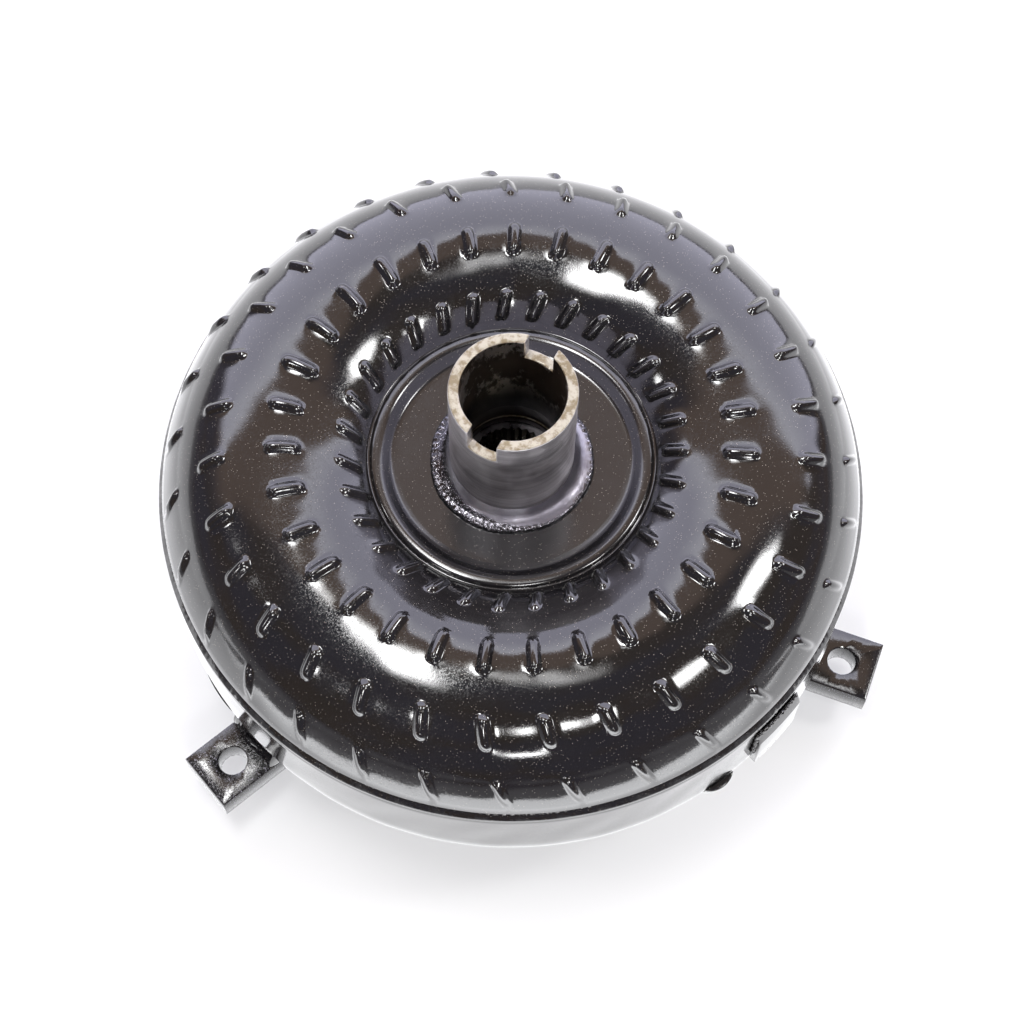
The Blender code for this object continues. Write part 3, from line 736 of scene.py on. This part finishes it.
def bent_plate(name, section, span, finish, taper=False):
    """A plate of that (r, z) section, bent about the axis between two angles, with worn edges.

    taper thins its ends down to the cover's round corner.
    """
    middle = tuple((np.array(section[0]) + section[-1]) / 2)
    corners = [(*middle, 0), *((r, z, 0.7) for r, z in section), (*middle, 0)]
    outline = np.array(rounded(corners, steps=3)[:-1])
    centre = outline.mean(axis=0)
    inward = centre - outline
    inward /= np.linalg.norm(inward, axis=1, keepdims=True)
    ends = np.array([0.0, 0.06, 0.2, 0.4])
    between = np.linspace(span[0] + 1, span[1] - 1, 9)
    angles = np.concatenate([span[0] + ends, between, (span[1] - ends)[::-1]])
    insets = np.concatenate([(0.7, 0.35, 0.1, 0.0), np.zeros(9), (0.0, 0.1, 0.35, 0.7)])
    rings = [outline + inward * inset for inset in insets]
    if taper:
        r, z = outline.T
        on_corner = np.degrees(np.arctan2(z - COVER_FACE_Z - COVER_CORNER, r - BODY_R + COVER_CORNER))
        base = np.array([corner_point(angle, 0.1) for angle in on_corner])
        share = (angles - span[0]) / (span[1] - span[0])
        fullness = np.sin(np.pi * np.clip(share, 0.01, 0.99)) ** 0.6
        rings = [base + (ring - base) * full for ring, full in zip(rings, fullness)]
    rows = zip(rings, angles)
    points = [to_points(ring[:, 0], np.full(len(ring), angle), ring[:, 1]) for ring, angle in rows]
    return add_object(name, np.vstack(points), tube_faces(len(angles), len(outline)), finish, sharp=50.0)


BEAD_SIDES = 12
BEAD_PITCH = 1.9


def bead(name, path, size, finish, seed):
    """A knobbly weld bead along a path of (r, angle, z) points."""
    random = np.random.default_rng(seed)
    path = np.asarray(path, float)
    centre = to_points(*path.T)
    steps = np.linalg.norm(np.diff(centre, axis=0), axis=1)
    along = np.concatenate([[0], np.cumsum(steps)])
    fine = np.arange(0, along[-1], 0.22)
    centre = np.stack([np.interp(fine, along, centre[:, k]) for k in range(3)], axis=-1)
    tangent = np.gradient(centre, axis=0)
    tangent /= np.linalg.norm(tangent, axis=1, keepdims=True)
    out = centre * (1, 1, 0)
    out /= np.linalg.norm(out, axis=1, keepdims=True)
    side = np.cross(tangent, out)
    side /= np.linalg.norm(side, axis=1, keepdims=True)
    out = np.cross(side, tangent)
    marks = np.arange(0, along[-1] + 2, 2.0)
    drift = np.interp(fine, marks, random.normal(0, 1, len(marks)))
    waves = 0.34 * np.sin(2 * math.pi * fine / BEAD_PITCH + drift) + 0.10 * drift
    ends = np.sqrt(np.clip(np.minimum(fine, along[-1] - fine) / (1.5 * size), 0.02, 1))
    width = size * (1 + waves) * ends
    turn = np.linspace(0, 2 * math.pi, BEAD_SIDES, endpoint=False)
    lumps = 1 + 0.12 * np.sin(turn[None] * 3 + fine[:, None] * 2.1)
    ring = np.cos(turn)[None, :, None] * out[:, None] + np.sin(turn)[None, :, None] * side[:, None]
    points = centre[:, None] + ring * (width[:, None] * lumps)[..., None]
    return add_object(name, points, tube_faces(len(fine), BEAD_SIDES), finish, sharp=70.0)


def corner_point(section_angle, lift=0.0):
    """A point lifted off the cover's round corner, as (r, z)."""
    a = math.radians(section_angle)
    reach = COVER_CORNER + lift
    return BODY_R - COVER_CORNER + reach * math.cos(a), COVER_FACE_Z + COVER_CORNER + reach * math.sin(a)


def make_weights(finish):
    """The balance weights and the weld beads that hold them."""
    low, high = WEIGHT_HEIGHT
    inner, outer = BODY_R + 0.1, BODY_R + 3.0
    side = [(outer, high - 7.0), (inner + 0.4, high), (inner, high - 0.4), (inner, low), (outer, low)]
    made = [bent_plate("balance_weight_1_skin", side, WEIGHT_SPANS[0], finish)]
    start, end = WEIGHT_SPANS[0]
    top = [(BODY_R + 0.9, angle, high - 1.0) for angle in np.linspace(end - 0.2, start + 0.1, 24)]
    down = [(BODY_R + 0.8, start - 0.1, z) for z in np.linspace(high - 2.0, low + 9, 8)]
    made.append(bead("balance_weight_1_weld", top + down, 0.72, finish, SEED + 11))
    for number, span in enumerate(WEIGHT_SPANS[1:], 2):
        bottom, upper = WEIGHT_CORNER
        angles = np.linspace(upper, bottom, 6)
        rise = np.full(len(angles), 3.0) if number == 2 else np.interp(angles, (bottom, upper), (3.0, 0.6))
        curved = [corner_point(a, lift) for a, lift in zip(angles[::-1], rise[::-1])]
        curved += [corner_point(a, 0.1) for a in angles]
        made.append(bent_plate(f"balance_weight_{number}_skin", curved, span, finish, taper=True))
        r, z = corner_point(bottom - 1.5, 0.9)
        line = [(r, angle, z) for angle in np.linspace(span[0] - 0.2, span[1] + 0.2, 16)]
        made.append(bead(f"balance_weight_{number}_weld", line, 1.0, finish, SEED + 11 + number))
    return made


def make_lug_weld(number, degrees, finish):
    """The fillet that joins a lug's top to the cover's round corner, and thins out past the lug's sides."""
    across = np.linspace(-17.0, 21.0, 110)
    run_out = np.where(across < 0, 5.0, 6.0)
    past = np.clip(np.maximum(-across - 12.0, across - 15.0) / run_out, 0, 1)
    open_share = np.sqrt(np.clip(1 - past**2, 0.0004, 1))
    share = np.linspace(0, 1, 18)
    upper_angle = -33 + 1.5 * np.sin(across / 4.1 + number)
    toe = 137.3 + 0.4 * np.sin(across / 3.3 + number) + 0.08 * np.sin(across * 1.9)
    side_r, side_z = corner_point(-52, 0.2)
    mid_r, mid_z = corner_point(-41, 0.6)
    points = []
    for column, t in enumerate(across):
        top_r, top_z = corner_point(upper_angle[column], 0.15)
        beside = float(np.clip((abs(t) - LUG_WIDTH / 2 + 1.0) / 3.0, 0, 1)) ** 1.5
        low_r = toe[column] + (side_r - toe[column]) * beside
        low_z = LUG_TOP_Z - 0.15 + (side_z - LUG_TOP_Z + 0.15) * beside
        grow = open_share[column]
        ripple_here = 0.05 * math.sin(t * 3.6) + 0.03 * math.sin(t * 7.9 + 1)
        ring = []
        for s in share:
            swell = (0.9 + ripple_here) * math.sin(math.pi * s) + 0.3 * math.sin(2 * math.pi * s)
            r, z = low_r + (top_r - low_r) * s, low_z + (top_z - low_z) * s
            ring.append((r + swell * 0.8, z + swell * 0.35))
        ring += [corner_point(-45, -1.0), corner_point(-62, -1.0), (low_r - 8, low_z - 0.3)]
        ring = [(mid_r + (r - mid_r) * grow, mid_z + (z - mid_z) * grow) for r, z in ring]
        points.append([(math.sqrt(max(r * r - t * t, 1)), t, z) for r, z in ring])
    faces = tube_faces(len(across), len(points[0]))
    weld = add_object(f"drive_lug_{number}_weld", points, faces, finish, sharp=60.0)
    turn_piece(weld, degrees)
    return weld


# ---------------------------------------------------------------- stage


CAMERA_AROUND = 28.5
CAMERA_UP = 66.83
CAMERA_AWAY = 0.9141
CAMERA_LENS = 79.0
CAMERA_SHIFT = (0.00144, 0.00165)
CAMERA_ROLL = 0.0214  # radians
AIM_Z = 0.0615
# The pale sweep, as slopes of the view from the object: its top edge and its two sides
SWEEP_TOP = 0.55
SWEEP_CROWN = 0.12
SWEEP_LEFT = (0.75, 1.0)
SWEEP_RIGHT = (1.0, 1.45)
SWEEP_COLOUR = (4.1, 4.05, 4.9)
CREST_COLOUR = (7.2, 7.2, 7.9)
ROOM_BROWN = (0.42, 0.32, 0.25)
ROOM_VIOLET = (0.36, 0.33, 0.42)
BEAM_COLOUR = (1.35, 1.0, 0.80)
BACKDROP_SEEN = (0.9, 0.9, 0.91)
FLOOR_RADIUS = 14.0
FLOOR_FRONT = 0.54  # from the axis to the near edge of the table's glow
FLOOR_SIDE = 1.05
# The glow is painted light, brighter in front of the object than beside it
FLOOR_GLOW = (2.2, 8.2)  # as the paint reflects it: beside the object, and in front of it
FLOOR_SEEN = 0.48  # as the camera sees it
SOFTBOX_CORE = 0.12  # share of a softbox's width, each side of its middle, at full brightness
SOFTBOX_AWAY = 2.6
# Each softbox's bearing and elevation, its width and height as an angle, and its strength
SOFTBOXES = (
    ("softbox_top", -78, 79, 34, 12, 54),
    ("softbox_right", 85.4, 49.5, 14, 19, 52),
    ("softbox_near_right", 124, 45, 12, 15, 45),
    ("softbox_near", 168, 47, 18, 9, 55),
    ("softbox_low", 175, 25, 14, 5, 48),
    ("softbox_near_left", -138, 40, 8, 8, 48),
    ("softbox_left", -90, 37, 7, 8, 43),
    ("softbox_overhead", 60, 86, 22, 9, 9),
)


def direction(around, up):
    """A unit vector. Around is measured from straight away from the camera, clockwise seen from above."""
    a, e = math.radians(around), math.radians(up)
    ahead = Vector((math.sin(a) * math.cos(e), math.cos(a) * math.cos(e), math.sin(e)))
    ahead.rotate(Quaternion((0, 0, 1), math.radians(CAMERA_AROUND)))
    return ahead


def make_camera():
    data = bpy.data.cameras.new("camera")
    data.lens = CAMERA_LENS
    data.sensor_width = 36.0
    data.shift_x, data.shift_y = CAMERA_SHIFT
    data.clip_start, data.clip_end = 0.05, 50.0
    camera = place_object("camera", data)
    back = direction(180.0, CAMERA_UP)
    camera.location = Vector((0, 0, AIM_Z)) + back * CAMERA_AWAY
    camera.rotation_mode = "QUATERNION"
    roll = Quaternion((0, 0, 1), CAMERA_ROLL)
    camera.rotation_quaternion = (-back).to_track_quat("-Z", "Y") @ roll
    bpy.context.scene.camera = camera


def make_floor():
    """A plain pale table. The paint reflects its glow, and the camera sees a steady dimmer one. The glow
    holds painted light and shadow: brighter in front of the object, with a painted shadow behind it and
    round its foot.
    """
    mesh = bpy.data.meshes.new("floor")
    bm = bmesh.new()
    bmesh.ops.create_circle(bm, cap_ends=True, segments=64, radius=FLOOR_RADIUS)
    bm.to_mesh(mesh)
    bm.free()
    floor = place_object("floor", mesh)
    floor.location.z = -0.0006
    shader = Shader("pale_floor", (0.27, 0.27, 0.27), 0.7)
    shader.surface.inputs["Specular IOR Level"].default_value = 0.0
    parts = shader.facing()
    aside = shader.math("ABSOLUTE", parts["X"], 0.0)
    # Painted light and shadow in the glow: it rises in front of the object, and a painted shadow dims it
    # behind the object and round its foot
    front = shader.remap(parts["Y"], -0.17, -0.32, *FLOOR_GLOW)
    behind = shader.remap(parts["Y"], 0.0, 0.25, 0.0, 0.8)
    painted_shadow_near_body = shader.remap(shader.length(shader.place), 0.15, 0.26, 0.65, 1.0)
    edge_line = shader.math("ADD", parts["Y"], shader.math("MULTIPLY", aside, -0.46))
    near_edge = shader.remap(edge_line, -FLOOR_FRONT - 0.015, -FLOOR_FRONT + 0.015)
    side_edge = shader.remap(aside, FLOOR_SIDE + 0.12, FLOOR_SIDE)
    glow = shader.math("MULTIPLY", shader.math("SUBTRACT", front, behind), painted_shadow_near_body)
    glow = shader.math("MULTIPLY", glow, shader.math("MULTIPLY", near_edge, side_edge))
    seen = shader.add("ShaderNodeLightPath").outputs["Is Camera Ray"]
    away = shader.math("SUBTRACT", 1.0, seen)
    reflected, shown = shader.math("MULTIPLY", glow, away), shader.math("MULTIPLY", seen, FLOOR_SEEN)
    strength = shader.math("ADD", reflected, shown)
    shader.surface.inputs["Emission Color"].default_value = (0.97, 0.98, 1, 1)
    shader.link(strength, shader.surface.inputs["Emission Strength"])
    mesh.materials.append(shader.material)


def add_softbox(name, around, up, width, height, strength):
    """An area light of that angular size in degrees, aimed at the object, brightest in its middle."""
    data = bpy.data.lights.new(name, "AREA")
    data.shape = "RECTANGLE"
    data.size = 2 * SOFTBOX_AWAY * math.tan(math.radians(width / 2))
    data.size_y = 2 * SOFTBOX_AWAY * math.tan(math.radians(height / 2))
    data.energy = strength * math.pi * data.size * data.size_y
    data.use_nodes = True
    nodes = Nodes(data.node_tree)
    parts = nodes.parts(nodes.add("ShaderNodeNewGeometry").outputs["Parametric"])
    spread = 1.0
    for part in (parts["X"], parts["Y"]):
        off_centre = nodes.math("ABSOLUTE", nodes.math("SUBTRACT", part, 0.5), 0.0)
        spread = nodes.math("MULTIPLY", nodes.remap(off_centre, 0.5, SOFTBOX_CORE), spread)
    nodes.link(spread, data.node_tree.nodes["Emission"].inputs["Strength"])
    lamp = place_object(name, data)
    out = direction(around, up)
    lamp.location = Vector((0, 0, 0.1)) + out * SOFTBOX_AWAY
    lamp.rotation_mode = "QUATERNION"
    lamp.rotation_quaternion = (-out).to_track_quat("-Z", "Y")


def make_world():
    """A dim brown and violet room, with a pale sweep behind the object that rises over it."""
    world = bpy.data.worlds.new("studio")
    bpy.context.scene.world = world
    world.use_nodes = True
    nodes = Nodes(world.node_tree, "Generated")
    parts = nodes.facing()
    across, ahead, up = parts["X"], parts["Y"], parts["Z"]
    aside = nodes.math("ABSOLUTE", across, 0.0)

    def over(up_slope, ahead_slope, margin, soft):
        """1 where margin is clear of the edge up * up_slope + ahead * ahead_slope."""
        rise, run = nodes.math("MULTIPLY", up, up_slope), nodes.math("MULTIPLY", ahead, ahead_slope)
        edge = nodes.math("ADD", rise, run)
        return nodes.remap(nodes.math("ADD", edge, margin), -soft, soft)

    crown = nodes.math("MULTIPLY", aside, -SWEEP_CROWN)
    top = over(-SWEEP_TOP, 1.0, crown, 0.02)
    left = over(*SWEEP_LEFT, across, 0.08)
    right = over(*SWEEP_RIGHT, nodes.math("MULTIPLY", across, -1.0), 0.08)
    sweep = nodes.math("MULTIPLY", top, nodes.math("MULTIPLY", left, right))
    beam = nodes.math("MULTIPLY", over(-0.22, 1.0, crown, 0.06), nodes.remap(up, 0.3, 0.6))
    patch = nodes.remap(nodes.noise(2.2, 3.0), 0.4, 0.6)
    room = nodes.blend(patch, ROOM_BROWN, ROOM_VIOLET)
    brown = nodes.blend(beam, room, BEAM_COLOUR)
    crest = over(-SWEEP_TOP - 0.12, 1.0, crown, 0.2)
    pale = nodes.blend(crest, CREST_COLOUR, SWEEP_COLOUR)
    reflected = nodes.blend(sweep, brown, pale)
    seen = nodes.add("ShaderNodeLightPath").outputs["Is Camera Ray"]
    background = world.node_tree.nodes["Background"]
    nodes.link(nodes.blend(seen, reflected, BACKDROP_SEEN), background.inputs["Color"])


def main():
    paint = black_paint("black_enamel")
    blasted_paint = black_paint("black_enamel_on_blasted_lug", blasted="all")
    edge_paint = black_paint("black_enamel_on_sawn_lug", blasted="sides")
    hub_steel = turned_steel("turned_hub_steel")
    weld = weld_metal("hub_weld_metal")
    made = [
        (make_impeller_shell(paint), ("impeller_shell",), "gloss_black_paint"),
        (make_cover_skin(paint), ("front_cover",), "gloss_black_paint"),
        (make_seam_weld(paint), (), "gloss_black_paint"),
        (make_pilot(paint), ("crank_pilot",), "gloss_black_paint"),
        (make_hub(hub_steel), ("impeller_hub",), "turned_steel"),
        (make_hub_weld(weld), (), "sheet_steel"),
    ]
    for number, degrees in enumerate(LUG_ANGLES, 1):
        coat = edge_paint if number == 1 else blasted_paint
        made.append((make_lug(number, degrees, coat), (f"drive_lug_{number}",), "gloss_black_paint"))
        made.append((make_lug_weld(number, degrees, paint), (), "gloss_black_paint"))
    for piece in make_weights(paint):
        number = piece.name.split("_")[2]
        nodes = (f"balance_weight_{number}",) if piece.name.endswith("skin") else ()
        made.append((piece, nodes, "gloss_black_paint"))
    for piece, nodes, slot in made:
        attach(piece, "casing")
        if nodes:
            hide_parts(*nodes)

    finishes = {
        "sheet_steel": machined("oily_sheet_steel", (0.26, 0.25, 0.24), (0.40, 0.39, 0.38), 0.35),
        "race_steel": machined("ground_steel", (0.38, 0.38, 0.39), (0.50, 0.50, 0.52), 0.2, 1.0, 1500.0),
        "cast_alloy": machined("cast_aluminium", (0.50, 0.50, 0.51), (0.66, 0.66, 0.68), 0.5, 1.0, 350.0),
        "bronze": machined("plain_bronze", (0.42, 0.28, 0.13), (0.60, 0.43, 0.22), 0.33),
        "turned_steel": hub_steel,
        "gloss_black_paint": paint,
    }
    # The inner race, deep in the hub's bore, gets dark oily steel: partly oil, partly painted shade
    oily_and_shade_darkened_race = machined("oily_inner_race", (0.05, 0.047, 0.05), (0.12, 0.115, 0.12), 0.3)
    for part in frame["record"]["subparts"]:
        node = NODES[part["node"]]
        inner_race = part["node"] == "clutch_inner_race"
        for slot in node.material_slots:
            slot.material = oily_and_shade_darkened_race if inner_race else finishes[part["material_slot"]]

    make_camera()
    make_floor()
    make_world()
    for softbox in SOFTBOXES:
        add_softbox(*softbox)
    bpy.context.scene.view_settings.view_transform = "Standard"


main()
